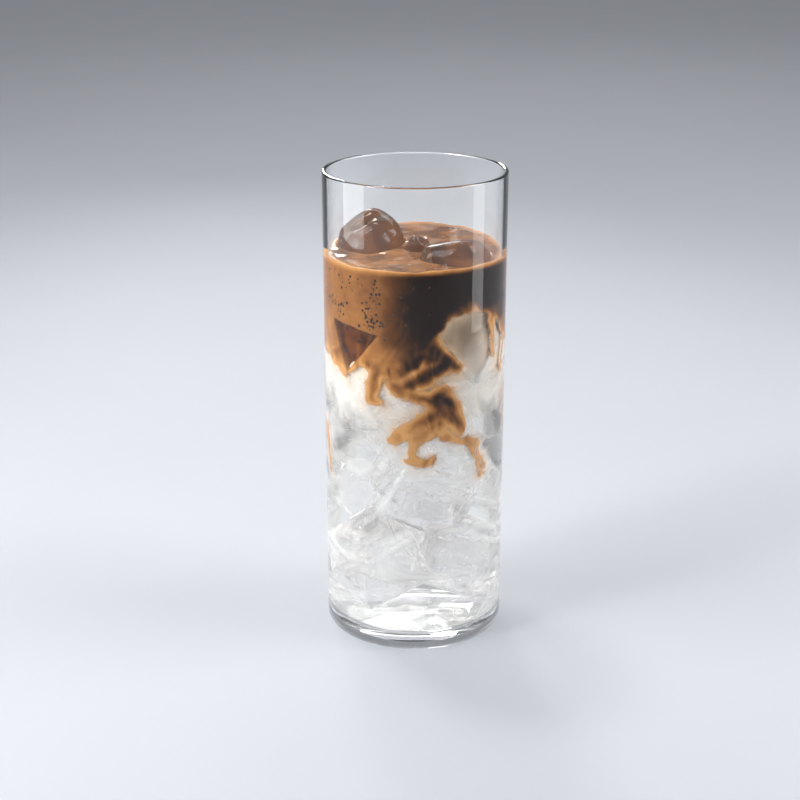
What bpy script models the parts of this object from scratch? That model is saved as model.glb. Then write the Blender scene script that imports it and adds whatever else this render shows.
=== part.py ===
"""A hojicha latte: a tall clear tumbler holding cold milk and ice, with roasted tea poured in on top.

Metres, +Z up. The origin is the centre of the glass's foot, on the surface that it stands on.
The tumbler is a turned shape. The two drinks are turned discs whose upper and lower faces follow
height functions: the tea hangs down into the milk in fingers, and the milk's top follows the same
function a little lower. Floating ice cubes stand out of the tea, which is cut round them.
"""

import math

import bmesh
import bpy
from mathutils import Euler, Matrix, Vector, noise

# Driving dimensions of the tumbler.
GLASS_HEIGHT = 0.163
GLASS_RADIUS = 0.031
WALL = 0.0013
BASE_THICKNESS = 0.0061
FOOT_CORNER = 0.0030
INNER_CORNER = 0.0026
PUNT_DEPTH = 0.0006
PUNT_RADIUS = 0.019
BORE_RADIUS = GLASS_RADIUS - WALL

# Driving dimensions of the drink.
DRINK_LEVEL = 0.1350
TEA_FLOOR = 0.1060
GAP = 0.0003
LAYER_GAP = 0.0010
DRINK_RADIUS = BORE_RADIUS - GAP

# The free surface: a meniscus at the wall, low ripples, and rings round the point of pouring.
MENISCUS_RISE = 0.0008
MENISCUS_WIDTH = 0.0022
RIPPLE_HEIGHT = 0.0004
RIPPLE_LENGTH = 0.00625
POUR_POINT = Vector((0.0005, 0.0095))
POUR_DIMPLE = 0.0010
POUR_WIDTH = 0.0045
POUR_RING_SPACING = 0.0121

# The underside of the tea: waves, and fingers that sink into the milk as (angle from the front,
# radius, drop, half width), in degrees and metres. The angle turns to the right, seen from the front.
FLOOR_WAVE_HEIGHT = 0.0030
FLOOR_WAVE_LENGTH = 0.0143
TEA_FINGERS = (
    (8, 0.0225, 0.0330, 0.0062),
    (-16, 0.0250, 0.0170, 0.0058),
    (31, 0.0240, 0.0150, 0.0042),
    (66, 0.0270, 0.0130, 0.0040),
    (-62, 0.0260, 0.0090, 0.0052),
    (118, 0.0240, 0.0260, 0.0055),
    (163, 0.0230, 0.0160, 0.0060),
    (-118, 0.0250, 0.0300, 0.0058),
    (-150, 0.0150, 0.0180, 0.0060),
)

# Ice: (name, edge lengths, centre, turn in degrees about X, Y and Z).
ICE_CUBES = (
    ("ice_cube_left", (0.0215, 0.0190, 0.0205), (-0.0147, 0.0066, 0.1336), (20, -24, 28)),
    ("ice_cube_right", (0.0195, 0.0205, 0.0185), (0.0142, -0.0104, 0.1302), (-14, 12, 60)),
    ("ice_chip", (0.0075, 0.0070, 0.0085), (0.0008, -0.0006, 0.1346), (20, 25, 10)),
)
ICE_ROUNDING = 0.0050
MOST_ROUNDING_SHARE = 0.35
ICE_LUMP_HEIGHT = 0.0009
ICE_LUMP_LENGTH = 0.011
ICE_GAP = 0.0005

# How finely the round shapes are divided.
SEGMENTS = 72
DRINK_RINGS = 14
SIDE_RINGS = 4
ARC_STEPS = 6
ICE_CUTS = 4
MERGE_DISTANCE = 0.00002


def clear_scene():
    for obj in list(bpy.data.objects):
        bpy.data.objects.remove(obj)


def new_collection(name):
    collection = bpy.data.collections.new(name)
    bpy.context.scene.collection.children.link(collection)
    return collection


def new_material(name, colour, roughness, transmission=0.0, ior=1.45):
    material = bpy.data.materials.new(name)
    material.use_nodes = True
    shader = material.node_tree.nodes["Principled BSDF"]
    shader.inputs["Base Color"].default_value = (*colour, 1.0)
    shader.inputs["Roughness"].default_value = roughness
    shader.inputs["Metallic"].default_value = 0.0
    shader.inputs["Transmission Weight"].default_value = transmission
    shader.inputs["IOR"].default_value = ior
    return material


def new_object(name, mesh, collection, material=None):
    obj = bpy.data.objects.new(name, mesh)
    collection.objects.link(obj)
    if material:
        mesh.materials.append(material)
    return obj


def mesh_from(form, name):
    mesh = bpy.data.meshes.new(name)
    form.to_mesh(mesh)
    form.free()
    mesh.shade_smooth()
    return mesh


def arc(centre, radius, start, end):
    """Points of an arc in the profile's plane, from start to end in degrees."""
    points = []
    for step in range(ARC_STEPS + 1):
        angle = math.radians(start + (end - start) * step / ARC_STEPS)
        points.append((centre[0] + radius * math.cos(angle), centre[1] + radius * math.sin(angle)))
    return points


def glass_profile():
    """The tumbler's section, from the floor of its bore over the rim and down the outside."""
    half_wall = WALL / 2
    rim = (GLASS_RADIUS - half_wall, GLASS_HEIGHT - half_wall)
    inner = (BORE_RADIUS - INNER_CORNER, BASE_THICKNESS + INNER_CORNER)
    foot = (GLASS_RADIUS - FOOT_CORNER, FOOT_CORNER)
    points = [(0.0, BASE_THICKNESS)]
    points += arc(inner, INNER_CORNER, -90, 0)
    points += arc(rim, half_wall, 180, 0)
    points += arc(foot, FOOT_CORNER, 0, -90)
    points += [(PUNT_RADIUS + PUNT_DEPTH, 0.0), (PUNT_RADIUS, PUNT_DEPTH), (0.0, PUNT_DEPTH)]
    return points


def make_glass(collection, material):
    points = glass_profile()
    mesh = bpy.data.meshes.new("glass")
    mesh.from_pydata([(x, 0.0, z) for x, z in points], [(i, i + 1) for i in range(len(points) - 1)], [])
    glass = new_object("glass", mesh, collection, material)
    screw = glass.modifiers.new("turn", "SCREW")
    screw.steps = screw.render_steps = SEGMENTS
    screw.use_merge_vertices = True
    screw.merge_threshold = MERGE_DISTANCE
    screw.use_smooth_shade = True


def tea_floor(x, y):
    """Height of the tea's underside at a point of the bore: a wavy level with fingers hanging from it."""
    height = TEA_FLOOR + FLOOR_WAVE_HEIGHT * noise.noise(Vector((x, y, 0.0)) / FLOOR_WAVE_LENGTH)
    for angle, radius, drop, width in TEA_FINGERS:
        turn = math.radians(angle)
        away = math.hypot(x - radius * math.sin(turn), y + radius * math.cos(turn))
        height -= drop * math.exp(-((away / width) ** 2))
    return height


def milk_top(x, y):
    return tea_floor(x, y) - LAYER_GAP


def milk_floor(_x, _y):
    return BASE_THICKNESS + GAP


def drink_surface(x, y):
    """Height of the free surface, with its meniscus, ripples and the rings of pouring."""
    radius = math.hypot(x, y)
    rise = MENISCUS_RISE * math.exp((radius - DRINK_RADIUS) / MENISCUS_WIDTH)
    ripple = RIPPLE_HEIGHT * noise.noise(Vector((x, y, 0.0)) / RIPPLE_LENGTH)
    away = (Vector((x, y)) - POUR_POINT).length
    rings = math.exp(-((away / POUR_WIDTH) ** 2)) * math.cos(math.tau * away / POUR_RING_SPACING)
    return DRINK_LEVEL + rise + ripple - POUR_DIMPLE * rings


def turned_disc(name, shared, other, collection, material, floor_corner=0.0):
    """A round solid made by turning a section, whose two faces then follow height functions.

    shared is the height of the face that meets the other drink. Its triangles come first, so that
    both drinks split that face in the same way and keep their gap all over. floor_corner rounds the
    edge of the other face, where that face is the floor.
    """
    form = bmesh.new()
    rings = [DRINK_RADIUS * ring / DRINK_RINGS for ring in range(DRINK_RINGS + 1)]
    rows = [(radius, 0.0) for radius in rings]
    rows += [(DRINK_RADIUS, row / (SIDE_RINGS + 1)) for row in range(1, SIDE_RINGS + 1)]
    rows += [(radius, 1.0) for radius in reversed(rings)]
    section = [form.verts.new((radius, 0.0, float(row))) for row, (radius, _) in enumerate(rows)]
    edges = [form.edges.new(pair) for pair in zip(section, section[1:])]
    bmesh.ops.spin(
        form, geom=section + edges, cent=(0, 0, 0), axis=(0, 0, 1), angle=math.tau, steps=SEGMENTS,
    )
    bmesh.ops.remove_doubles(form, verts=form.verts, dist=MERGE_DISTANCE)
    bmesh.ops.triangulate(form, faces=form.faces, quad_method="FIXED")
    for vert in form.verts:
        share = rows[round(vert.co.z)][1]
        x, y = vert.co.x, vert.co.y
        start, end = shared(x, y), other(x, y)
        over = math.hypot(x, y) - DRINK_RADIUS + floor_corner
        if share == 1.0 and floor_corner and over > 0:
            end += floor_corner - math.sqrt(max(floor_corner**2 - over**2, 0.0))
        elif floor_corner and 0.0 < share < 1.0:
            end += floor_corner
        vert.co.z = start + (end - start) * share
    form.normal_update()
    bmesh.ops.recalc_face_normals(form, faces=form.faces)
    return new_object(name, mesh_from(form, name), collection, material)


def ice_mesh(name, size, seed, grow=0.0):
    """A cube with melted, rounded edges and slightly lumpy faces. grow pushes its skin outwards."""
    form = bmesh.new()
    bmesh.ops.create_cube(form, size=1.0, matrix=Matrix.Diagonal((*size, 1.0)))
    bmesh.ops.subdivide_edges(form, edges=form.edges, cuts=ICE_CUTS, use_grid_fill=True)
    rounding = min(ICE_ROUNDING, MOST_ROUNDING_SHARE * min(size))
    core = Vector(size) / 2 - Vector((rounding,) * 3)
    for vert in form.verts:
        inside = Vector(max(-c, min(c, v)) for v, c in zip(vert.co, core))
        direction = (vert.co - inside).normalized()
        lump = ICE_LUMP_HEIGHT * noise.noise(vert.co / ICE_LUMP_LENGTH + Vector((seed, 0.3, 0.7)))
        vert.co = inside + direction * (rounding + lump + grow)
    bmesh.ops.triangulate(form, faces=form.faces, quad_method="FIXED")
    return mesh_from(form, name)


def make_ice(collection, cutters, material):
    """The floating cubes, and for each a slightly larger copy that cuts its place in the tea."""
    for seed, (name, size, centre, turn) in enumerate(ICE_CUBES):
        place = Matrix.Translation(centre) @ Euler([math.radians(a) for a in turn]).to_matrix().to_4x4()
        cube = new_object(name, ice_mesh(name, size, seed), collection, material)
        cube.matrix_world = place
        place_name = f"{name}_place"
        cutter = new_object(place_name, ice_mesh(place_name, size, seed, ICE_GAP), cutters)
        cutter.matrix_world = place
        cutter.hide_render = True
        cutter.display_type = "WIRE"


def cut_places(tea, cutters):
    for cutter in cutters.objects:
        cut = tea.modifiers.new(cutter.name, "BOOLEAN")
        cut.operation = "DIFFERENCE"
        cut.object = cutter
        cut.solver = "EXACT"


def main():
    clear_scene()
    latte = new_collection("hojicha_latte")
    cutters = new_collection("cutters")
    clear_glass = new_material("clear_glass", (1.0, 1.0, 1.0), 0.02, transmission=1.0, ior=1.5)
    milk = new_material("milk", (0.86, 0.86, 0.88), 0.25)
    hojicha = new_material("hojicha_tea", (0.35, 0.17, 0.06), 0.25)
    ice = new_material("ice", (0.93, 0.95, 0.97), 0.05, transmission=1.0, ior=1.31)
    make_glass(latte, clear_glass)
    turned_disc("milk", milk_top, milk_floor, latte, milk, floor_corner=INNER_CORNER)
    tea = turned_disc("hojicha_tea", tea_floor, drink_surface, latte, hojicha)
    make_ice(latte, cutters, ice)
    cut_places(tea, cutters)


main()
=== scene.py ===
"""The finish of a hojicha latte: a tall tumbler of iced milk with roasted tea poured in on top."""

import itertools
import math

import bpy
import numpy as np
from mathutils import Euler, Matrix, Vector


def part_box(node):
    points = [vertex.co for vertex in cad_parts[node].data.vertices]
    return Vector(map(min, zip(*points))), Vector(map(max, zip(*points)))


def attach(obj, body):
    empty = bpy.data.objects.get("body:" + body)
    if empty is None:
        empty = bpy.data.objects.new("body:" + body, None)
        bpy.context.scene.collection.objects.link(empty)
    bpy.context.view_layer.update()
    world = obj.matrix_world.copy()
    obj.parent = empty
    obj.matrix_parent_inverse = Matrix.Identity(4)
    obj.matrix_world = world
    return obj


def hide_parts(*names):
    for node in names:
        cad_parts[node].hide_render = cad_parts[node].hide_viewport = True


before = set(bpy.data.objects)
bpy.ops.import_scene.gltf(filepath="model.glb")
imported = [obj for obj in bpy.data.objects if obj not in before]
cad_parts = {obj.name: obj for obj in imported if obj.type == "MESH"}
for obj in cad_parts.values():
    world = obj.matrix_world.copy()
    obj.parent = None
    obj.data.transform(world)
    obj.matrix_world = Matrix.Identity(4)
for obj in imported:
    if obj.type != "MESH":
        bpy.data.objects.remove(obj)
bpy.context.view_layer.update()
MM = 0.001


# The tumbler: clear soda-lime glass, machine-made, with a thin straight wall, a fire-polished rim and
# a heavy base. It is turned from one section, much finer than the solid that it stands for.
glass_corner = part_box("glass")[1]
GLASS_HEIGHT = glass_corner.z
GLASS_RADIUS = glass_corner.x
WALL = 1.3 * MM
BASE_THICKNESS = 6.1 * MM
FOOT_CORNER = 3.0 * MM
INNER_CORNER = 2.6 * MM
PUNT_DEPTH = 0.6 * MM
PUNT_RADIUS = 19.0 * MM
PUNT_EDGE = 1.6 * PUNT_DEPTH
BORE_RADIUS = GLASS_RADIUS - WALL
GLASS_TINT = (0.985, 0.995, 0.992)
GLASS_SHADE = (0.97, 0.98, 0.98)
SMEAR_ROUGHNESS = 0.012


class Field:
    """A socket of a node tree. Sums and products of fields add Math nodes to the same tree."""

    def __init__(self, tree, socket=None):
        self.tree = tree
        self.socket = socket

    def node(self, kind, settings, sockets, output=0):
        """Adds a node of that kind: first its settings, then the values or links of its sockets."""
        node = self.tree.nodes.new(kind)
        for name, value in settings.items():
            if name == "stops":
                ramp = node.color_ramp
                ramp.elements[0].position, ramp.elements[0].color = value[0]
                ramp.elements[1].position, ramp.elements[1].color = value[-1]
                for position, colour in value[1:-1]:
                    ramp.elements.new(position).color = colour
            else:
                setattr(node, name, value)
        for name, value in sockets.items():
            if isinstance(value, Field):
                self.tree.links.new(value.socket, node.inputs[name])
            else:
                node.inputs[name].default_value = value
        return Field(self.tree, node.outputs[output])

    def math(self, operation, *values):
        return self.node("ShaderNodeMath", {"operation": operation}, dict(enumerate(values)))

    def __add__(self, other):
        return self.math("ADD", self, other)

    def __radd__(self, other):
        return self.math("ADD", other, self)

    def __sub__(self, other):
        return self.math("SUBTRACT", self, other)

    def __rsub__(self, other):
        return self.math("SUBTRACT", other, self)

    def __mul__(self, other):
        return self.math("MULTIPLY", self, other)

    def __rmul__(self, other):
        return self.math("MULTIPLY", other, self)

    def vector(self, operation, value):
        return self.node("ShaderNodeVectorMath", {"operation": operation}, {0: self, 1: value})

    def smooth(self, low, high):
        """0 below low and 1 above high, with a soft step between. high may be the lower of the two."""
        kind = {"interpolation_type": "SMOOTHSTEP"}
        return self.node("ShaderNodeMapRange", kind, {"Value": self, "From Min": low, "From Max": high})

    def noise(self, scale, detail=3.0, distortion=0.0, roughness=0.5):
        sockets = {"Vector": self, "Scale": scale, "Detail": detail, "Distortion": distortion}
        return self.node("ShaderNodeTexNoise", {}, {**sockets, "Roughness": roughness})

    def kept(self, name):
        """The number that the piece's points keep under that name."""
        return self.node("ShaderNodeAttribute", {"attribute_name": name}, {}, output=2)

    def principled(self, sockets):
        return self.node("ShaderNodeBsdfPrincipled", {}, sockets)

    def transparent(self, tint=(1.0, 1.0, 1.0)):
        return self.node("ShaderNodeBsdfTransparent", {}, {"Color": (*tint, 1.0)})

    def mix(self, below, above):
        """The shader below where this field is 0, and above where it is 1."""
        return self.node("ShaderNodeMixShader", {}, {0: self, 1: below, 2: above})

    def blend(self, low, high):
        """The colour low where this field is 0, and high where it is 1."""
        low, high = (end if isinstance(end, Field) else (*end, 1.0) for end in (low, high))
        return self.node("ShaderNodeMix", {"data_type": "RGBA"}, {0: self, 6: low, 7: high}, output=2)


def new_material(name):
    """An empty material, with a field for its tree, one for its object coordinates, and its output."""
    material = bpy.data.materials.new(name)
    material.use_nodes = True
    material.node_tree.nodes.clear()
    start = Field(material.node_tree)
    place = start.node("ShaderNodeTexCoord", {}, {}, output=3)
    output = material.node_tree.nodes.new("ShaderNodeOutputMaterial")
    return material, start, place, output


def show(shader, output):
    shader.tree.links.new(shader.socket, output.inputs["Surface"])


def let_light_through(shader, tint):
    """Lets lamps and soft light pass straight through a clear piece, so that what it holds is lit."""
    clear = shader.transparent(tint)
    diffuse_ray = shader.node("ShaderNodeLightPath", {}, {}, output=2)
    shadow_ray = shader.node("ShaderNodeLightPath", {}, {}, output=1)
    return shadow_ray.mix(diffuse_ray.mix(shader, clear), clear)


def arc(centre, radius, start, end, steps):
    """Points of an arc in the section's plane, from start to end in degrees."""
    turns = [math.radians(start + (end - start) * step / steps) for step in range(steps + 1)]
    return [(centre[0] + radius * math.cos(a), centre[1] + radius * math.sin(a)) for a in turns]


def piece_of(name, mesh):
    """Puts a mesh into the scene as a smooth piece."""
    mesh.shade_smooth()
    piece = bpy.data.objects.new(name, mesh)
    bpy.context.scene.collection.objects.link(piece)
    return piece


def piece_from(name, points, faces):
    """A smooth piece made of those points and faces."""
    mesh = bpy.data.meshes.new(name)
    mesh.from_pydata(points, [], faces)
    mesh.update()
    return piece_of(name, mesh)


def turned(name, section, segments=288):
    """A closed piece turned from a section: out from the axis, up the outer side and back to it."""
    points, rings = [], []
    for radius, height in section:
        turns = [math.tau * step / segments for step in range(segments if radius else 1)]
        rings.append(range(len(points), len(points) + len(turns)))
        points += [(radius * math.cos(a), radius * math.sin(a), height) for a in turns]
    faces = []
    for low, high in zip(rings, rings[1:]):
        for step in range(segments):
            corners = ((low, step), (low, step + 1), (high, step + 1), (high, step))
            around = [ring[place % len(ring)] for ring, place in corners]
            faces.append(list(dict.fromkeys(around)))
    return piece_from(name, points, faces)


# The section starts inside, at the bottom of the bore, so it is turned from its other end.
section = [(0.0, BASE_THICKNESS), (0.5 * BORE_RADIUS, BASE_THICKNESS)]
section += arc((BORE_RADIUS - INNER_CORNER, BASE_THICKNESS + INNER_CORNER), INNER_CORNER, -90, 0, 16)
section += arc((GLASS_RADIUS - WALL / 2, GLASS_HEIGHT - WALL / 2), WALL / 2, 180, 0, 20)
section += arc((GLASS_RADIUS - FOOT_CORNER, FOOT_CORNER), FOOT_CORNER, 0, -90, 20)
section += arc((PUNT_RADIUS, 2 * PUNT_DEPTH), PUNT_EDGE, -60, -100, 6)
section += [(0.5 * PUNT_RADIUS, PUNT_DEPTH), (0.0, PUNT_DEPTH)]
tumbler = turned("tumbler", section[::-1])

clear_glass, start, place, output = new_material("clear_glass")
smears = place.noise(55.0, detail=4.0).smooth(0.52, 0.8)
glass = start.principled({
    "Base Color": (*GLASS_TINT, 1.0),
    "Roughness": smears * SMEAR_ROUGHNESS,
    "IOR": 1.5,
    "Transmission Weight": 1.0,
})
show(let_light_through(glass, GLASS_SHADE), output)
tumbler.data.materials.append(clear_glass)
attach(tumbler, "root")
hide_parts("glass")


# The ice: cubes from a tray, melted to soft lumpy blocks. The floating ones stand out of the tea, and
# the sunk ones lie in the drink. Each is a skin found on a grid round a rounded box with lumps.
ICE_REACH = BORE_RADIUS - 0.3 * MM
# Each cube is (edges, centre, turn in degrees, rounding, lump), in millimetres.
FLOATING_ICE = {
    "ice_cube_left": ((21.5, 19.0, 20.5), (-14.7, 6.6, 133.6), (20, -24, 28), 7.0, 0.9),
    "ice_cube_right": ((19.5, 20.5, 18.5), (14.2, -10.4, 130.2), (-14, 12, 60), 5.0, 0.9),
    "ice_chip": ((7.5, 7.0, 8.5), (0.8, -0.6, 134.6), (20, 25, 10), 2.4, 0.5),
}
SUNK_ICE = {
    "sunk_ice_1": ((23, 22, 21), (-14.5, -9.0, 107.0), (28, 38, -35), 1.6, 0.3),
    "sunk_ice_2": ((22, 20, 23), (13.0, -11.5, 107.5), (-18, 40, 22), 1.6, 0.3),
    "sunk_ice_3": ((24, 22, 22), (2.0, 14.0, 103.0), (15, -20, 50), 1.8, 0.35),
    "sunk_ice_4": ((25, 22, 23), (-13.5, 3.0, 79.0), (-20, 18, 12), 1.8, 0.35),
    "sunk_ice_5": ((24, 23, 22), (13.5, 6.0, 76.0), (32, -12, 40), 1.8, 0.35),
    "sunk_ice_6": ((27, 24, 22), (4.0, -12.5, 55.0), (12, 27, 8), 1.6, 0.35),
    "sunk_ice_7": ((23, 22, 23), (-13.5, 11.0, 52.0), (25, 30, -25), 1.8, 0.35),
    "sunk_ice_8": ((22, 22, 22), (14.5, 12.0, 48.0), (-20, 25, 30), 1.8, 0.35),
    "sunk_ice_9": ((24, 22, 21), (-12.0, -10.0, 27.0), (14, -22, 25), 1.6, 0.35),
    "sunk_ice_10": ((23, 23, 21), (13.5, -7.5, 25.5), (-24, 10, -20), 1.6, 0.35),
    "sunk_ice_11": ((22, 22, 22), (2.0, 15.0, 21.0), (10, 20, 45), 1.8, 0.35),
}
TEA_COVERED_ICE = ("sunk_ice_1", "sunk_ice_3")
FLOATING_STEP = 0.45 * MM
SUNK_STEP = 0.7 * MM
DENT = 9.0 * MM
PIT = 3.5 * MM
MELTED_EDGE = 1.2 * MM
# A cube turned any way, with its lumps, reaches at most this many edges from its centre.
ICE_ROOM = 0.9
FROST_WIDTH = 0.8 * MM
FROST = (0.85, 0.835, 0.825, 1.0)
FILM = (0.22, 0.11, 0.04, 1.0)
FILM_LOW = 134.0 * MM
FILM_HIGH = 148.0 * MM
LUMP_CELLS = 32
LUMP_TABLE = np.random.default_rng(11).uniform(-1.0, 1.0, (3, LUMP_CELLS, LUMP_CELLS, LUMP_CELLS))


def lumps(x, y, z, size, kind=0):
    """Smooth noise from -1 to 1 at arrays of points, with lumps of about that size."""
    cells = [np.floor(c / size).astype(int) for c in (x, y, z)]
    parts = [c / size - cell for c, cell in zip((x, y, z), cells)]
    eased = [part * part * (3.0 - 2.0 * part) for part in parts]
    total = 0.0
    for corner in itertools.product((0, 1), repeat=3):
        weight = 1.0
        for far, share in zip(corner, eased):
            weight = weight * (share if far else 1.0 - share)
        i, j, k = ((cell + far) % LUMP_CELLS for cell, far in zip(cells, corner))
        total = total + weight * LUMP_TABLE[kind, i, j, k]
    return total


def joined(a, b, soft):
    """The larger of two depths, with a fillet where they meet."""
    share = np.clip(0.5 + 0.5 * (a - b) / soft, 0.0, 1.0)
    return b + (a - b) * share + soft * share * (1.0 - share)


def ice_depth(x, y, z, cube):
    """How deep points lie inside a cube of ice, in metres. It is melted flat where the glass stops it."""
    size, centre, turn, rounding, lump = cube
    inverse = np.array(Euler([math.radians(a) for a in turn]).to_matrix()).T
    offset = [c - o * MM for c, o in zip((x, y, z), centre)]
    local = [sum(inverse[row][i] * offset[i] for i in range(3)) for row in range(3)]
    away = [np.abs(c) - (s * MM / 2 - rounding * MM) for c, s in zip(local, size)]
    outside = np.sqrt(sum(np.maximum(a, 0.0) ** 2 for a in away))
    inside = np.minimum(np.maximum(np.maximum(away[0], away[1]), away[2]), 0.0)
    uneven = lumps(*local, DENT, 0) + 0.35 * lumps(*local, PIT, 1)
    block = rounding * MM - outside - inside + lump * MM * uneven
    return -joined(-block, np.hypot(x, y) - ICE_REACH, MELTED_EDGE)


def skin_of(name, depth, low, high, step):
    """A closed piece where depth is 0, found on a grid of small cubes. depth is positive inside."""
    axes = [np.arange(a - 2 * step, b + 3 * step, step) for a, b in zip(low, high)]
    values = depth(*np.meshgrid(*axes, indexing="ij"))
    inside = values > 0.0
    # The skin crosses each small cube that has corners on both sides of it.
    count = np.zeros(tuple(n - 1 for n in inside.shape), int)
    for corner in itertools.product((0, 1), repeat=3):
        count += inside[tuple(slice(c, n - 1 + c) for c, n in zip(corner, inside.shape))]
    crossed = (count > 0) & (count < 8)
    number = np.full(count.shape, -1)
    number[crossed] = np.arange(crossed.sum())
    cells = np.argwhere(crossed)
    # Each of those cubes holds one point, in the middle of where its edges are crossed.
    total, found = np.zeros((len(cells), 3)), np.zeros(len(cells))
    unit = np.eye(3, dtype=int)
    for axis in range(3):
        for corner in itertools.product((0, 1), repeat=3):
            if corner[axis]:
                continue
            near = cells + corner
            a, b = values[tuple(near.T)], values[tuple((near + unit[axis]).T)]
            split = (a > 0.0) != (b > 0.0)
            share = np.where(split, a / np.where(split, a - b, 1.0), 0.0)
            total += split[:, None] * (near + share[:, None] * unit[axis])
            found += split
    points = np.array([a[0] for a in axes]) + step * total / found[:, None]
    # Round each crossed edge of the grid, four cubes' points make a face that looks outwards.
    faces = []
    for axis in range(3):
        u, v = unit[(axis + 1) % 3], unit[(axis + 2) % 3]
        here = tuple(slice(0, n - unit[axis][i]) for i, n in enumerate(inside.shape))
        there = tuple(slice(unit[axis][i], None) for i in range(3))
        edges = np.argwhere(inside[here] != inside[there])
        leaving = inside[tuple(edges.T)]
        ring = [number[tuple((edges - shift).T)] for shift in (u * 0, u, u + v, v)]
        quads = np.stack(ring, axis=1)
        quads[~leaving] = quads[~leaving][:, ::-1]
        faces.append(quads)
    return piece_from(name, settle(points, depth, step).tolist(), np.concatenate(faces).tolist())


def settle(points, depth, step):
    """Moves points of a skin onto the true surface, along the slope of depth."""
    probe = 0.2 * step
    for _ in range(2):
        here = depth(*points.T)
        slope = []
        for axis in np.eye(3) * probe:
            slope.append((depth(*(points + axis).T) - depth(*(points - axis).T)) / (2 * probe))
        slope = np.stack(slope, axis=1)
        steep = np.maximum((slope**2).sum(axis=1), 0.3)
        move = -(here / steep)[:, None] * slope
        far = np.linalg.norm(move, axis=1) / (0.4 * step)
        points = points + move / np.maximum(far, 1.0)[:, None]
    return points


def points_of(piece):
    """The piece's points, as arrays of x, y and z."""
    points = np.zeros(len(piece.data.vertices) * 3)
    piece.data.vertices.foreach_get("co", points)
    return points.reshape(-1, 3).T


def note(piece, name, values):
    """Keeps a number from 0 to 1 for each point of the piece, for its material to read."""
    attribute = piece.data.attributes.new(name, "FLOAT", "POINT")
    attribute.data.foreach_set("value", np.clip(values, 0.0, 1.0).astype(np.float32))


def cube_of_ice(name, cube, step):
    """A cube's skin. Its points keep how near they lie to an edge, for the frost there."""
    reach = ICE_ROOM * MM * max(cube[0])
    low = [c * MM - reach for c in cube[1]]
    high = [c * MM + reach for c in cube[1]]
    piece = skin_of(name, lambda x, y, z: ice_depth(x, y, z, cube), low, high, step)
    size, centre, turn, rounding, _ = cube
    local = np.array(Euler([math.radians(a) for a in turn]).to_matrix()).T
    offset = np.stack(points_of(piece)) - np.array(centre)[:, None] * MM
    away = np.abs(local @ offset) - (np.array(size)[:, None] / 2 - rounding) * MM
    second = np.sort(away, axis=0)[1]
    from_edge = np.minimum(second - 0.3 * rounding * MM, 0.0)
    note(piece, "edge", np.exp(-((from_edge / FROST_WIDTH) ** 2)))
    return piece


def ice_finish(name, colour, ior, rough, cloud=0.0, wet=None):
    """Clear ice with frosty flaws: cloud is how white its edges and its flaws are. Wet ice has a film
    of tea on it, thin at the top and thicker where it stands in the drink."""
    material, start, place, output = new_material(name)
    flaws = place.noise(170.0, detail=5.0, distortion=0.8).smooth(0.52, 0.74)
    dents = place.noise(230.0, detail=3.0)
    bump = start.node("ShaderNodeBump", {}, {"Strength": 0.08, "Distance": 0.0006, "Height": dents})
    sockets = {
        "Base Color": (*colour, 1.0),
        "Roughness": flaws * rough,
        "IOR": ior,
        "Transmission Weight": 1.0,
        "Normal": bump,
    }
    if wet:
        height = place.node("ShaderNodeSeparateXYZ", {}, {"Vector": place}, output=2)
        film = height.smooth(FILM_HIGH, FILM_LOW)
        sockets["Base Color"] = (film * (0.55 + 0.9 * place.noise(80.0, detail=3.0))).blend(colour, wet)
    finish = let_light_through(start.principled(sockets), colour)
    if wet:
        coat = start.principled({"Base Color": FILM, "Roughness": 0.04})
        drops = place.noise(95.0, detail=3.0, distortion=1.0).smooth(0.3, 0.7)
        finish = (0.02 + 0.16 * (film * drops)).mix(finish, coat)
    if cloud:
        broken = place.noise(120.0, detail=4.0).smooth(0.38, 0.62)
        white = cloud * (start.kept("edge") * (0.25 + 0.75 * broken) + 0.35 * flaws)
        frost = start.principled({"Base Color": FROST, "Roughness": 0.4})
        finish = white.mix(finish, frost)
    show(finish, output)
    return material


floating_finish = ice_finish("floating_ice", (0.97, 0.95, 0.92), 1.31, 0.06, wet=(0.82, 0.67, 0.5))
sunk_finish = ice_finish("sunk_ice", (0.94, 0.93, 0.925), 1.08, 0.15, cloud=0.6)
stained_finish = ice_finish("stained_ice", (0.78, 0.62, 0.46), 1.1, 0.1)
for name, cube in FLOATING_ICE.items():
    piece = cube_of_ice(f"{name}_skin", cube, FLOATING_STEP)
    piece.data.materials.append(floating_finish)
    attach(piece, "root")
    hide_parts(name)
for name, cube in SUNK_ICE.items():
    piece = cube_of_ice(name, cube, SUNK_STEP)
    piece.data.materials.append(stained_finish if name in TEA_COVERED_ICE else sunk_finish)
    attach(piece, "root")


# The milk: thin and cold, so clear enough to see the ice through. It is one body of liquid that
# reaches just into the glass, and its top is hidden inside the tea.
LIQUID_RADIUS = BORE_RADIUS + 0.2 * MM
LIQUID_FLOOR = BASE_THICKNESS - 0.2 * MM
LIQUID_TOP = 127.0 * MM
corner = INNER_CORNER + 0.1 * MM
section = [(0.0, LIQUID_FLOOR), (0.5 * LIQUID_RADIUS, LIQUID_FLOOR)]
section += arc((LIQUID_RADIUS - corner, LIQUID_FLOOR + corner), corner, -90, 0, 16)
section += [(LIQUID_RADIUS, LIQUID_TOP), (0.0, LIQUID_TOP)]
milk = turned("cold_milk", section)
cold_milk, start, place, output = new_material("cold_milk")
liquid = start.principled({
    "Base Color": (0.985, 0.98, 0.97, 1.0),
    "Roughness": 0.0,
    "IOR": 1.33,
    "Specular Tint": (0.0, 0.0, 0.0, 1.0),
    "Transmission Weight": 1.0,
})
show(let_light_through(liquid, (0.985, 0.985, 0.99)), output)
milk.data.materials.append(cold_milk)
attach(milk, "root")
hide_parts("milk")


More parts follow.
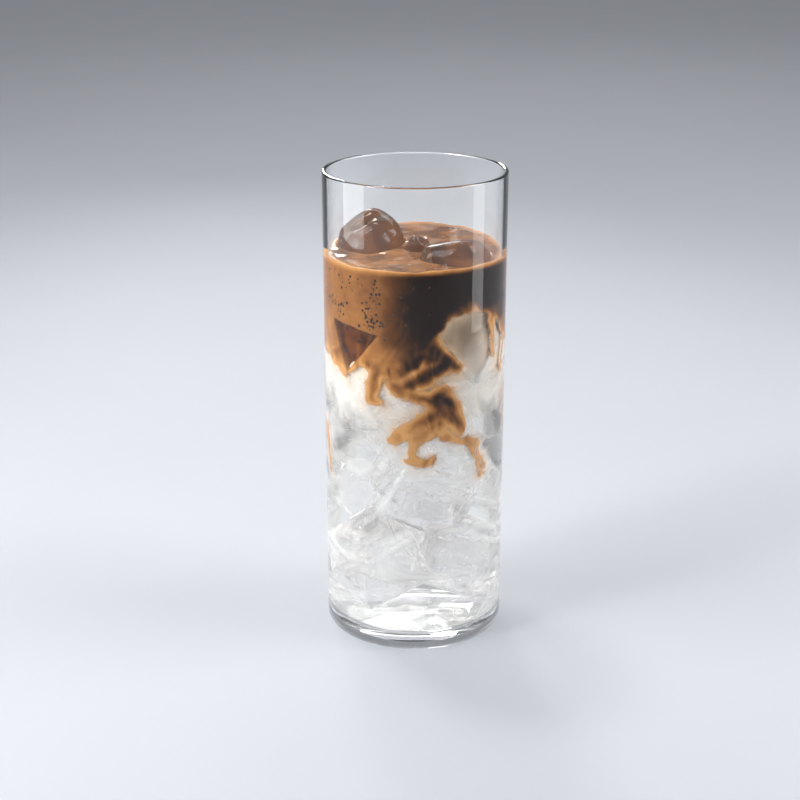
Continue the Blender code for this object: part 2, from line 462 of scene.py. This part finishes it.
# The tea: strong roasted tea with some milk in it. It lies in a band on top and sinks into the milk
# in plumes along the glass. Its free surface has a meniscus, low ripples and a dimple at the pour.
TEA_RADIUS = BORE_RADIUS + 0.1 * MM
DRINK_LEVEL = 135.0 * MM
# The band's lower edge at the glass, as (angle from the front, height), the angle turning right.
BAND_EDGE = (
    (-180, 104), (-150, 101), (-120, 107), (-100, 104), (-85, 103), (-68, 103), (-58, 100), (-48, 99),
    (-36, 102), (-27, 99.5), (-15, 98.5), (-5, 100), (3, 103), (9, 108), (13, 113.5), (18, 117),
    (28, 120.5), (40, 122), (49, 120), (58, 116), (66, 112), (76, 108), (90, 104), (112, 107),
    (135, 102), (158, 108), (180, 104),
)
# Plumes are chains of (angle from the front, height, half width), in degrees and millimetres.
FRONT_PLUMES = {
    "trunk": ((2, 121, 8), (1, 116, 6.4), (5, 111.5, 5.2), (12, 107, 4.6), (20, 104, 3.2), (27, 102, 2.0)),
    "lobe": ((17, 103, 3.8), (7, 100, 3.8), (-2, 97.6, 3.3), (-12, 97, 2.6)),
    "fold": ((-8, 115, 2.8), (-7, 110, 2.6), (-10, 105, 2.6), (-13, 100.5, 2.2)),
    "tan_side": (
        (-17, 113, 2.6), (-20, 107, 3.2), (-22, 101, 3.6), (-26, 95.5, 2.9), (-28, 91.4, 2.2),
        (-22, 89.6, 1.3),
    ),
    "slant": ((-14, 96.6, 1.6), (-4, 94.8, 1.8), (6, 92.5, 2.2), (13, 89.7, 2.8)),
    "lower_trunk": ((16, 91, 5.2), (21, 87, 5.0), (25, 83.2, 3.6), (28, 80.8, 2.0)),
    "fan": ((13, 86.5, 3.8), (3, 83.4, 4.0), (-5, 80.8, 2.8), (-13, 78.8, 1.8), (-18, 78, 1.0)),
    "fan_stem": ((13, 82.7, 3.2), (5, 79.9, 2.4), (1, 77.8, 1.6)),
    "hook": (
        (1, 77.8, 1.5), (0, 74.4, 1.4), (1, 71.0, 1.6), (6, 70.2, 1.4), (10, 71.2, 1.1),
        (11, 72.6, 0.6),
    ),
    "hook_toe": ((1, 70.8, 1.4), (-3, 70.1, 0.9), (-7, 70.9, 0.6)),
    "streak": (
        (17, 79.5, 1.8), (23, 77.8, 1.1), (33, 75.9, 0.9), (39, 72.2, 0.8), (44, 67.6, 0.7),
        (49, 61.5, 0.7),
    ),
    "streak_edge": ((34, 76.1, 0.8), (44, 74.4, 0.7), (46, 69.5, 0.6), (49, 64.2, 0.6)),
    "right_mass": ((63, 124, 3.8), (60, 119.6, 3.2), (56, 115.6, 2.0), (55, 112.3, 0.9)),
    "right_line": ((68, 115.9, 1.8), (74, 109.3, 0.8), (73, 104.2, 0.7), (71, 100.6, 0.7), (70, 97, 1.4)),
    "left_strip": ((-71, 105.7, 2.2), (-63, 102.4, 1.3), (-54, 99.3, 1.0), (-51, 97.6, 0.8)),
}
# The same plumes go round the glass again, as (turn, mirror, lift, stretch): the lift is in
# millimetres, and they are stretched downwards from the height where they leave the band.
PLUME_TURNS = ((0, 1, 0.0, 1.0), (128, -1, 3.0, 0.8), (-120, 1, 5.0, 1.1), (178, 1, 2.0, 0.7))
PLUME_START = 118.0
PLUME_FLATNESS = 0.55
PLUME_REACH = 12 * MM
PLUME_FLOOR = 56 * MM
# The plumes are bent by (size of the bend, size of the lumps), but the tea at the top is calm.
BENDS = ((1.4 * MM, 5.5 * MM), (0.6 * MM, 2.2 * MM))
CALM_DEPTH = 6 * MM
CALM_FADE = 8 * MM
SOFT_JOINT = 0.7 * MM
# Faces of sunk ice that lie against the glass, as (angle from the front, height), turning clockwise.
ICE_WINDOWS = (
    ((-63, 115.8), (-42, 114.9), (-23, 113.4), (-48, 98.4)),
    ((-152, 120), (-128, 118), (-137, 107)),
)
WINDOW_DEPTH = 3.2 * MM
SINK_SLANT = 0.25
# The tea reaches a little into the ice, and in front of ice it is never thinner than its skin.
ICE_OVERLAP = 0.15 * MM
TEA_SKIN = 1.6 * MM
# Where ice is cut out, the points within this many edges of its centre are worked out.
CUT_ROOM = 0.95
# The skin of the piece lies this far outside the tea, which leaves room for a frayed edge.
SPREAD = 1.2 * MM
TEA_STEP = 0.6 * MM
RIPPLES = ((0.35 * MM, 7.0 * MM, 1), (0.12 * MM, 2.6 * MM, 2))
MENISCUS_RISE = 0.9 * MM
MENISCUS_WIDTH = 1.6 * MM
POUR_SPOT = (0.5 * MM, 9.5 * MM)
POUR_DEPTH = 1.3 * MM
POUR_WIDTH = 5.0 * MM
POUR_RING = 1.7 * MM
SURFACE_LOW = 1.5 * MM
SURFACE_SLOPE = 0.3


def angle_of(x, y):
    """Degrees from the front, turning right."""
    return np.degrees(np.arctan2(x, -y))


def at_angle(angle, table):
    """The value of a table of (angle, value) at each angle."""
    return np.interp(angle, *np.array(table).T)


def drink_surface(x, y):
    """Height of the free surface."""
    rise = MENISCUS_RISE * np.exp((np.hypot(x, y) - TEA_RADIUS) / MENISCUS_WIDTH)
    ripple = sum(height * lumps(x, y, 0 * x, size, kind) for height, size, kind in RIPPLES)
    away = np.hypot(x - POUR_SPOT[0], y - POUR_SPOT[1])
    rings = POUR_DEPTH * np.exp(-((away / POUR_WIDTH) ** 2)) * np.cos(away / POUR_RING)
    return DRINK_LEVEL + rise + ripple - rings


def chains():
    """Every link of every plume, as two ends of (angle in radians, height, half width)."""
    for turn, mirror, lift, stretch in PLUME_TURNS:
        for chain in FRONT_PLUMES.values():
            ends = []
            for angle, height, width in chain:
                level = PLUME_START + lift - (PLUME_START - height) * stretch
                ends.append((math.radians(turn + mirror * angle), level * MM, width * MM))
            yield from zip(ends, ends[1:])


def tea_depth(x, y, z):
    """How deep points lie inside the tea. The points are first bent, more so lower down."""
    bend = [sum(high * lumps(x, y, z, size, kind) for high, size in BENDS) for kind in range(3)]
    fade = np.clip((DRINK_LEVEL - CALM_DEPTH - z) / CALM_FADE, 0.0, 1.0)
    x, y, z = (c + fade * b for c, b in zip((x, y, z), bend))
    angle = np.arctan2(x, -y)
    sink = np.clip(TEA_RADIUS - np.hypot(x, y), 0.0, None)
    depth = z - at_angle(angle_of(x, y), BAND_EDGE) * MM + SINK_SLANT * sink
    for (a0, z0, w0), (a1, z1, w1) in chains():
        half = (a1 - a0) / 2
        off = (angle - a0 - half + math.pi) % math.tau - math.pi
        near = np.abs(off) < abs(half) + PLUME_REACH / TEA_RADIUS
        near &= (z > min(z0, z1) - PLUME_REACH) & (z < max(z0, z1) + PLUME_REACH)
        if not near.any():
            continue
        round_wall, up = (off[near] + half) * TEA_RADIUS, z[near] - z0
        link = (2 * half * TEA_RADIUS, z1 - z0)
        share = np.clip((round_wall * link[0] + up * link[1]) / np.hypot(*link) ** 2, 0.0, 1.0)
        across = np.hypot(round_wall - share * link[0], up - share * link[1])
        capsule = w0 + (w1 - w0) * share - np.hypot(across, PLUME_FLATNESS * sink[near])
        depth[near] = joined(depth[near], capsule, SOFT_JOINT)
    return depth


def window_depth(x, y, z, corners):
    """How deep points lie inside a pocket behind a clear face of ice that is pressed to the glass."""
    sink = TEA_RADIUS - np.hypot(x, y)
    place = np.stack([np.arctan2(x, -y) * TEA_RADIUS, z])
    ends = [np.array([math.radians(angle) * TEA_RADIUS, height * MM]) for angle, height in corners]
    inside = WINDOW_DEPTH - sink
    for here, there in zip(ends, ends[1:] + ends[:1]):
        along = (there - here) / np.linalg.norm(there - here)
        offset = place - here[:, None]
        inside = np.minimum(inside, offset[0] * along[1] - offset[1] * along[0] - SINK_SLANT * sink)
    return inside


def without_ice(depth, x, y, z):
    """The same depth, with the ice and its windows cut out."""
    for name, cube in (*FLOATING_ICE.items(), *SUNK_ICE.items()):
        if name in TEA_COVERED_ICE:
            continue
        reach = CUT_ROOM * MM * max(cube[0])
        near = np.maximum(np.abs(x - cube[1][0] * MM), np.abs(y - cube[1][1] * MM)) < reach
        near &= np.abs(z - cube[1][2] * MM) < reach
        if near.any():
            pocket = -ICE_OVERLAP - ice_depth(x[near], y[near], z[near], cube)
            skin = TEA_SKIN - (TEA_RADIUS - np.hypot(x[near], y[near]))
            depth[near] = np.minimum(depth[near], np.maximum(pocket, skin))
    for corners in ICE_WINDOWS:
        depth = np.minimum(depth, -window_depth(x, y, z, corners))
    return depth


def tea_in_glass(x, y, z):
    """How deep points lie inside the tea, as the glass, the surface and the ice bound it."""
    wall = TEA_RADIUS - np.hypot(x, y)
    top = drink_surface(x, y) - z
    depth = -joined(-wall, -top, SOFT_JOINT)
    near = depth > -2 * TEA_STEP
    points = x[near], y[near], z[near]
    tea = without_ice(tea_depth(*points) + SPREAD, *points)
    depth[near] = np.minimum(depth[near], tea)
    return depth


# How dark the tea is at the glass by angle from the front, in the band and in the plumes under it. In the
# band this is partly the tea's strength and partly painted light and shade: paler at the left of the front
# and darkest right of the front.
BAND_TONE_AND_SHADE = (
    (-180, 0.7), (-150, 0.35), (-110, 0.3), (-80, 0.42), (-40, 0.4), (-22, 0.52), (-6, 0.85), (6, 1.15),
    (38, 1.25), (60, 1.1), (72, 0.75), (92, 0.4), (128, 0.45), (158, 0.9), (180, 0.7),
)
PLUME_TONE = (
    (-180, 0.6), (-140, 0.4), (-100, 0.5), (-60, 0.4), (-26, 0.4), (-10, 0.6), (2, 0.84), (28, 0.88),
    (50, 0.62), (80, 0.45), (120, 0.8), (150, 0.5), (180, 0.6),
)


def tea_tone(x, y, z, depth):
    """How dark the tea is at points of its skin, 0 for milky tan and 1 for nearly black: its strength, with
    painted shade and a painted highlight in places.
    """
    angle = angle_of(x, y) + 7.0 * lumps(x, y, z, 8.0 * MM, 0) + 3.0 * lumps(x, y, z, 3.0 * MM, 1)
    sink = TEA_RADIUS - np.hypot(x, y)
    # At the glass the band is paler towards its lower edge, and a plume at its sides and lower down.
    edge = at_angle(angle, BAND_EDGE) * MM
    in_band = np.clip((z - edge + 2.0 * MM * lumps(x, y, z, 5.0 * MM, 2)) / (7 * MM), 0.0, 1.0)
    # By angle the band's tone is partly the tea's strength and partly painted light and shade.
    band = at_angle(angle, BAND_TONE_AND_SHADE) * np.interp(z, (105 * MM, 121 * MM), (0.68, 1.0))
    core = np.clip(depth / (3.0 * MM), 0.0, 1.0)
    lower = np.clip((z - 76 * MM) / (16 * MM), 0.25, 1.0)
    plume = core * lower * at_angle(angle, PLUME_TONE)
    tone = in_band * band + (1.0 - in_band) * plume
    # Away from the glass, where it shows through the ice, it is patchy, and darker far in and lower down:
    # painted shade in pockets that little light reaches.
    patches = 0.45 * lumps(x, y, z, 5.0 * MM, 1)
    inner = np.interp(z, (118 * MM, 125 * MM), (0.9, 0.46)) + np.clip(patches, -0.2, 0.4)
    inner = np.interp(sink, (4 * MM, 7 * MM), (0.58, 1.0)) * inner
    tone = np.where(sink > 1.5 * MM, inner, tone)
    # On top it is even, with a pale rim along the glass: a painted highlight on the meniscus.
    near_top = np.clip((z - DRINK_LEVEL + SURFACE_LOW) / (1.8 * MM), 0.0, 1.0)
    painted_rim_highlight = np.interp(sink, (0.3 * MM, 2.2 * MM), (0.4, 0.0))
    surface = 0.54 + 0.11 * lumps(x, y, 0 * z, 6.0 * MM, 0) - painted_rim_highlight
    return np.clip(tone * (1.0 - near_top) + surface * near_top, 0.0, 1.0)


tea = skin_of(
    "hojicha_tea_body", tea_in_glass, (-TEA_RADIUS, -TEA_RADIUS, PLUME_FLOOR),
    (TEA_RADIUS, TEA_RADIUS, DRINK_LEVEL + 2 * MM), TEA_STEP,
)
x, y, z = points_of(tea)
depth = tea_depth(x, y, z)
note(tea, "tone", tea_tone(x, y, z, depth))
note(tea, "solid", 0.5 + depth / (2.0 * SPREAD))
note(tea, "stirred", 1.0 - (z - at_angle(angle_of(x, y), BAND_EDGE) * MM) / (14 * MM))
TEA_COLOURS = (
    (0.0, (0.6, 0.3, 0.1, 1.0)), (0.3, (0.36, 0.145, 0.034, 1.0)), (0.58, (0.125, 0.041, 0.007, 1.0)),
    (0.85, (0.016, 0.005, 0.001, 1.0)), (1.0, (0.008, 0.002, 0.0005, 1.0)),
)


def tea_finish(name, gloss, rough):
    """Roasted tea with milk. gloss is how much it shines: it does on top, and not against the glass."""
    material, start, place, output = new_material(name)
    tone, solid, stirred = (start.kept(number) for number in ("tone", "solid", "stirred"))
    drawn = place.vector("MULTIPLY", (1.0, 1.0, 0.6))
    swirl = drawn.noise(95.0, detail=3.0, distortion=2.6, roughness=0.5)
    flow = drawn.noise(85.0, detail=3.0, distortion=3.6, roughness=0.45)
    ribbons = (flow - 0.52).math("ABSOLUTE").smooth(0.05, 0.0)
    dark_lines = (flow - 0.43).math("ABSOLUTE").smooth(0.045, 0.0)
    grain = place.noise(240.0, detail=3.0, distortion=1.0)
    active = 0.2 + 0.8 * stirred
    streaks = 1.2 * (swirl - 0.5) - 0.55 * ribbons + 0.42 * dark_lines
    shade = tone + active * streaks + 0.14 * (grain - 0.5)
    colour = shade.node("ShaderNodeValToRGB", {"stops": TEA_COLOURS}, {"Fac": shade})
    body = start.principled(
        {"Base Color": colour, "Roughness": rough, "IOR": 1.34, "Specular IOR Level": gloss}
    )
    frayed = place.noise(150.0, detail=5.0, distortion=2.5, roughness=0.6)
    cover = (solid + 1.5 * (1.0 - solid) * (frayed - 0.5)).smooth(0.1, 0.8)
    show(cover.mix(start.transparent(), body), output)
    return material


tea.data.materials.append(tea_finish("hojicha_tea", gloss=0.0, rough=0.3))
tea.data.materials.append(tea_finish("hojicha_surface", gloss=0.5, rough=0.09))
for face in tea.data.polygons:
    if face.center.z > DRINK_LEVEL - SURFACE_LOW and face.normal.z > SURFACE_SLOPE:
        face.material_index = 1
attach(tea, "root")
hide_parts("hojicha_tea")


# The milk veil: wisps of whiter milk that drift in the thin milk, as a skin just inside the glass.
# Close to the plumes the milk has taken up some tea.
VEIL_RADIUS = BORE_RADIUS - 0.5 * MM
VEIL_FLOOR = BASE_THICKNESS + 0.5 * MM
VEIL_TOP = 97.0 * MM
VEIL_ROWS = 60
MILK_WHITE = (0.81, 0.79, 0.77)
STAINED = (0.8, 0.56, 0.36)


def near_tea(piece, reach):
    """How close the points of a piece lie to the tea: 1 at the tea and 0 at that reach from it."""
    x, y, z = points_of(piece)
    return np.clip(1.0 + tea_depth(x, y, z) / reach, 0.0, 1.0) ** 2


section = [(0.0, VEIL_FLOOR), (0.5 * VEIL_RADIUS, VEIL_FLOOR)]
section += arc((VEIL_RADIUS - INNER_CORNER, VEIL_FLOOR + INNER_CORNER), INNER_CORNER, -90, 0, 12)
corner_top = section[-1][1]
rise = (VEIL_TOP - corner_top) / VEIL_ROWS
section += [(VEIL_RADIUS, corner_top + rise * row) for row in range(1, VEIL_ROWS + 1)]
section += [(0.0, VEIL_TOP)]
veil = turned("milk_veil", section)
note(veil, "near", near_tea(veil, 7 * MM))
thin_milk, start, place, output = new_material("milk_veil")
drawn = place.vector("MULTIPLY", (1.0, 1.0, 1.5))
wisps = drawn.noise(38.0, detail=5.0, distortion=1.6, roughness=0.55).smooth(0.42, 0.75)
threads = drawn.noise(75.0, detail=4.0, distortion=2.4, roughness=0.5)
threads = (threads - 0.5).math("ABSOLUTE").smooth(0.035, 0.0)
smoke = place.noise(110.0, detail=5.0, distortion=1.8).smooth(0.3, 0.65)
stain = start.kept("near") * smoke
haze = start.principled({"Base Color": stain.blend(MILK_WHITE, STAINED), "Roughness": 0.6})
share = 0.14 + 0.42 * wisps + 0.25 * threads + 0.75 * stain
show(share.mix(start.transparent(), haze), output)
veil.data.materials.append(thin_milk)
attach(veil, "root")


# The milk cloud: where the tea has stirred it, the milk is white and nearly opaque. It hangs behind
# the plumes as a lumpy body that thins out downwards, and the clear milk goes on round it.
CLOUD_RADIUS = 28.4 * MM
CLOUD_REACH = CLOUD_RADIUS + 1.0 * MM
CLOUD_STEP = 1.1 * MM
CLOUD_LOW = 80.0 * MM
CLOUD_LIGHT = (0.9, 0.85, 0.79)
CLOUD_GREY = (0.76, 0.69, 0.6)
CLOUD_SHADE = (0.2, 0.13, 0.075)


def cloud_depth(x, y, z):
    """How deep points lie inside the milk cloud. It hangs lower at the right of the front."""
    rough = 3.2 * lumps(x, y, z, 15.0 * MM, 0) + 1.3 * lumps(x, y, z, 6.0 * MM, 1)
    wall = CLOUD_RADIUS - np.hypot(x, y) + 0.25 * MM * np.minimum(rough, 0.0)
    angle = angle_of(x, y)
    droop = 6.0 * MM * np.exp(-(((angle - 35) / 30) ** 2))
    bottom = z - CLOUD_LOW + droop + 2.2 * MM * rough
    roof = at_angle(angle, BAND_EDGE) * MM + 1.5 * MM - z
    return np.minimum(np.minimum(wall, bottom), roof)


cloud = skin_of(
    "milk_cloud", cloud_depth, (-CLOUD_REACH, -CLOUD_REACH, CLOUD_LOW - 20 * MM),
    (CLOUD_REACH, CLOUD_REACH, CLOUD_LOW + 45 * MM), CLOUD_STEP,
)
x, y, z = points_of(cloud)
note(cloud, "body", (z - CLOUD_LOW) / (18 * MM) + 0.25 * lumps(x, y, z, 9.0 * MM, 2) + 0.2)
note(cloud, "near", near_tea(cloud, 9 * MM))
# The cloud is painted darker in two places, at the right of the front and at the back, more so higher up:
# painted shadow of the tea band above it.
angle = angle_of(x, y) + 12.0 * lumps(x, y, z, 8.0 * MM, 1)
shaded = np.exp(-(((angle - 34) / 26) ** 2)) + np.exp(-(((angle + 160) / 26) ** 2))
note(cloud, "dim", shaded * (z - 92 * MM) / (14 * MM))
white_milk, start, place, output = new_material("milk_cloud")
puffs = place.noise(65.0, detail=6.0, distortion=1.2, roughness=0.6)
grey = place.noise(30.0, detail=3.0, distortion=0.6).smooth(0.35, 0.65)
tone = start.kept("dim").blend(grey.blend(CLOUD_LIGHT, CLOUD_GREY), CLOUD_SHADE)
tone = (start.kept("near") * puffs.smooth(0.25, 0.6)).blend(tone, STAINED)
milky = start.principled({"Base Color": tone, "Roughness": 0.7})
share = (start.kept("body") + 1.5 * (puffs - 0.5)).smooth(0.0, 0.8)
show(share.mix(start.transparent(), milky), output)
cloud.data.materials.append(white_milk)
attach(cloud, "root")


# The bubbles: air caught while pouring. Dark ones cling to the glass in the tea, most of them at the
# left of the front, and small white ones are scattered through the milk.
TEA_BUBBLE = (0.035, 0.012, 0.003)
MILK_BUBBLE = (0.95, 0.95, 0.96)
SLEEVE_ROWS = 40
SPOT_SEED = 4
SIZE_SEED = 9


def bubble_maker():
    """A node tree that sets bubbles of mixed sizes on a mesh, as thick as its attribute "crowd" says."""
    tree = bpy.data.node_groups.new("bubble_maker", "GeometryNodeTree")
    face = tree.interface
    face.new_socket("Carrier", in_out="INPUT", socket_type="NodeSocketGeometry")
    for name in ("Per square metre", "Smallest radius", "Largest radius"):
        face.new_socket(name, in_out="INPUT", socket_type="NodeSocketFloat")
    face.new_socket("Finish", in_out="INPUT", socket_type="NodeSocketMaterial")
    face.new_socket("Bubbles", in_out="OUTPUT", socket_type="NodeSocketGeometry")
    start = Field(tree)
    given = tree.nodes.new("NodeGroupInput")
    carrier, number, smallest, largest, finish = (Field(tree, given.outputs[i]) for i in range(5))
    crowd = start.node("GeometryNodeInputNamedAttribute", {"data_type": "FLOAT"}, {"Name": "crowd"})
    thickness = {"Mesh": carrier, "Density": crowd * number, "Seed": SPOT_SEED}
    spots = start.node("GeometryNodeDistributePointsOnFaces", {}, thickness)
    chance = start.node("FunctionNodeRandomValue", {"data_type": "FLOAT"}, {"Seed": SIZE_SEED}, output=1)
    radius = smallest + (largest - smallest) * chance * chance
    ball = start.node("GeometryNodeMeshIcoSphere", {}, {"Radius": 1.0, "Subdivisions": 2})
    placed = start.node(
        "GeometryNodeInstanceOnPoints", {}, {"Points": spots, "Instance": ball, "Scale": radius},
    )
    real = start.node("GeometryNodeRealizeInstances", {}, {"Geometry": placed})
    done = start.node("GeometryNodeSetMaterial", {}, {"Geometry": real, "Material": finish})
    result = tree.nodes.new("NodeGroupOutput")
    tree.links.new(done.socket, result.inputs[0])
    return tree


BUBBLE_TREE = bubble_maker()


def bubbles(name, carrier, crowd, number, smallest, largest, finish):
    """Bubbles on a carrier, which is used up. crowd is how thick they lie at each of its points, from
    0 to 1, and number is how many lie on a square metre where it is 1."""
    note(carrier, "crowd", crowd)
    modifier = carrier.modifiers.new("bubbles", "NODES")
    modifier.node_group = BUBBLE_TREE
    values = {
        "Per square metre": number, "Smallest radius": smallest, "Largest radius": largest, "Finish": finish,
    }
    for item in BUBBLE_TREE.interface.items_tree:
        if item.name in values:
            modifier[item.identifier] = values[item.name]
    graph = bpy.context.evaluated_depsgraph_get()
    mesh = bpy.data.meshes.new_from_object(carrier.evaluated_get(graph))
    mesh.name = name
    piece = piece_of(name, mesh)
    bpy.data.objects.remove(carrier)
    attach(piece, "root")


def bubble_finish(name, colour, roughness):
    """A bubble's skin, in a colour that goes a little darker in spots."""
    material, start, place, output = new_material(name)
    tone = place.noise(900.0).blend(colour, tuple(0.6 * c for c in colour))
    sockets = {"Base Color": tone, "Roughness": roughness, "Specular IOR Level": 0.2}
    show(start.principled(sockets), output)
    return material


def sleeve(radius, low, high):
    """A carrier for bubbles: a closed drum with small faces, upright round the axis."""
    rows = [(radius, low + (high - low) * row / SLEEVE_ROWS) for row in range(SLEEVE_ROWS + 1)]
    return turned("sleeve", [(0.0, low), *rows, (0.0, high)], segments=144)


drum = sleeve(TEA_RADIUS - 0.18 * MM, 100 * MM, DRINK_LEVEL - 2 * MM)
x, y, z = points_of(drum)
angle = angle_of(x, y)
patch = np.exp(-(((angle + 38) / 26) ** 2)) + 0.5 * np.exp(-(((angle - 170) / 24) ** 2))
patch = patch * np.exp(-(((z - 123 * MM) / (6 * MM)) ** 2))
patch = patch * np.clip(0.3 + 2.0 * lumps(x, y, z, 4.5 * MM, 2), 0.0, 1.0) * (np.hypot(x, y) > 29 * MM)
dark_bubble = bubble_finish("tea_bubble", TEA_BUBBLE, 0.5)
bubbles(
    "tea_bubbles", drum, patch, number=1.8e6, smallest=0.26 * MM, largest=0.6 * MM,
    finish=dark_bubble,
)

drum = sleeve(VEIL_RADIUS - 0.9 * MM, 9 * MM, 86 * MM)
x, y, z = points_of(drum)
patch = np.clip(0.1 + 1.8 * lumps(x, y, z, 7.0 * MM, 1), 0.03, 1.0) * (np.hypot(x, y) > 20 * MM)
white_bubble = bubble_finish("milk_bubble", MILK_BUBBLE, 0.15)
bubbles(
    "milk_bubbles", drum, patch, number=3.0e4, smallest=0.08 * MM, largest=0.42 * MM,
    finish=white_bubble,
)


# The studio: a plain pale floor that runs on to the horizon, soft boxes at both sides and behind, a
# wide one that washes the floor, and a camera that looks down on the drink.
FLOOR_SIZE = 30.0
FLOOR_GAP = 0.05 * MM
FLOOR_TONES = ((0.375, 0.385, 0.41), (0.4, 0.41, 0.435))
SKY = (0.65, 0.67, 0.72, 1.0)
SKY_STRENGTH = 0.4
VIEWER = (-5.03 * MM, -516.5 * MM, 266.0 * MM)
VIEW_DOWN = 18.771
LENS = 70.94
HIDDEN_BELOW = 0.2
LIGHT_BOUNCES = 24
bpy.ops.mesh.primitive_plane_add(size=FLOOR_SIZE, location=(0.0, 0.0, -FLOOR_GAP))
floor = bpy.context.object
floor.name = "floor"
floor_finish, start, place, output = new_material("pale_floor")
grain = place.noise(9.0, detail=4.0)
matt = {"Base Color": grain.blend(*FLOOR_TONES), "Roughness": 0.7, "Specular IOR Level": 0.0}
show(start.principled(matt), output)
floor.data.materials.append(floor_finish)

world = bpy.data.worlds.new("studio")
bpy.context.scene.world = world
world.use_nodes = True
sky = world.node_tree.nodes["Background"]
sky.inputs["Color"].default_value = SKY
sky.inputs["Strength"].default_value = SKY_STRENGTH


def soft_box(name, angle, distance, low, width, length, power, aim=0.0, spread=180.0):
    """A rectangular lamp that faces the drink, at an angle from the front that turns right. It aims
    that much lower than its middle. One that stands near the floor isn't seen through the glass."""
    lamp = bpy.data.lights.new(name, "AREA")
    lamp.shape = "RECTANGLE"
    lamp.size, lamp.size_y = width, length
    lamp.energy = power
    lamp.spread = math.radians(spread)
    holder = bpy.data.objects.new(name, lamp)
    bpy.context.scene.collection.objects.link(holder)
    turn = math.radians(angle)
    middle = low + length / 2
    spot = Vector((distance * math.sin(turn), -distance * math.cos(turn), middle))
    holder.location = spot
    holder.rotation_euler = (Vector((0, 0, middle - aim)) - spot).to_track_quat("-Z", "Y").to_euler()
    holder.visible_camera = False
    holder.visible_transmission = low > HIDDEN_BELOW


# Angle from the front, distance, lower edge, width and length in metres, and power in watts.
soft_box("left_strip", -79, 0.38, 0.07, 0.22, 0.14, 0.34)
soft_box("right_strip", 81, 0.42, 0.005, 0.13, 0.16, 0.15)
soft_box("left_box", -72, 0.75, 0.3, 0.6, 0.6, 6.5, aim=0.5)
soft_box("left_window", -58, 0.85, 0.4, 0.16, 0.3, 4.0, aim=0.36)
soft_box("top_window", -141, 0.42, 0.98, 0.17, 0.17, 4.0, aim=0.92)
soft_box("right_box", 84, 0.8, 0.3, 0.5, 0.6, 7.6, aim=0.5)
soft_box("back_box", 172, 1.3, 0.6, 0.9, 0.5, 1.8, aim=1.6)
soft_box("back_window", -168, 1.1, 0.35, 0.22, 0.3, 1.3, aim=0.36, spread=60.0)
soft_box("floor_wash", 180, 2.6, 2.2, 4.0, 0.8, 26, aim=9.6)

camera = bpy.data.cameras.new("camera")
camera.lens = LENS
camera.sensor_width = 36.0
camera.shift_y = -0.03
camera.clip_start, camera.clip_end = 0.01, 100.0
viewer = bpy.data.objects.new("camera", camera)
viewer.location = VIEWER
viewer.rotation_euler = (math.radians(90.0 - VIEW_DOWN), 0.0, 0.0)
bpy.context.scene.collection.objects.link(viewer)
bpy.context.scene.camera = viewer
bpy.context.scene.view_settings.view_transform = "Standard"
bpy.context.scene.cycles.transparent_max_bounces = LIGHT_BOUNCES
bpy.context.scene.cycles.transmission_bounces = LIGHT_BOUNCES
bpy.context.scene.cycles.max_bounces = LIGHT_BOUNCES
